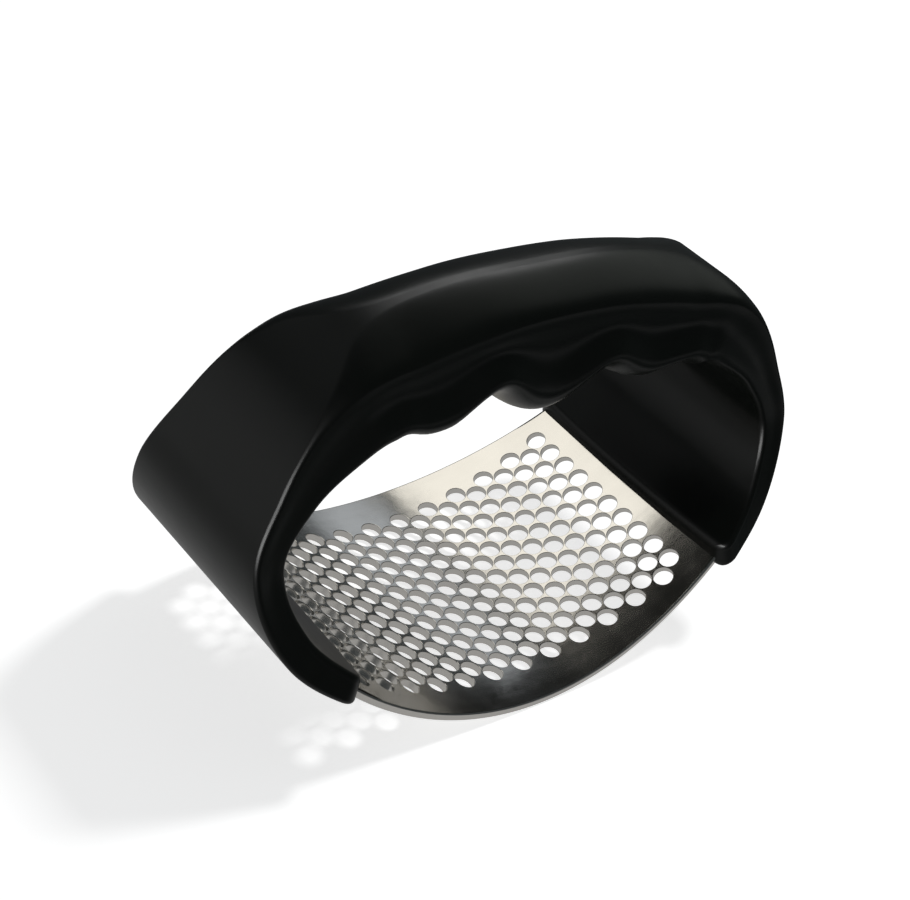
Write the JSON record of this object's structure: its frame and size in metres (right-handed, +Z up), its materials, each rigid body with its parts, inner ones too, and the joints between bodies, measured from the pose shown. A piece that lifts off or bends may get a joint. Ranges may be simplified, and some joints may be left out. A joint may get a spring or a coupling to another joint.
{
  "type": "rocking garlic press",
  "caption": "Rocking garlic press: a curved perforated steel plate held between the feet of a black arch handle with finger grooves.",
  "frame": {"origin": "the lowest point of the plate's underside, at the middle of the press, where it touches the board", "axes": "+Z up through the grip, +X along the curve of the plate in the rocking direction, +Y across the press"},
  "size_m": [0.098, 0.0486, 0.0599],
  "materials": {
    "plate_steel": "polished stainless steel with a fine directional grain",
    "handle_plastic": "near-black semi-gloss moulded plastic with a faint green cast"
  },
  "bodies": {
    "root": {"plate": "plate_steel", "handle": "handle_plastic"}
  },
  "joints": []
}
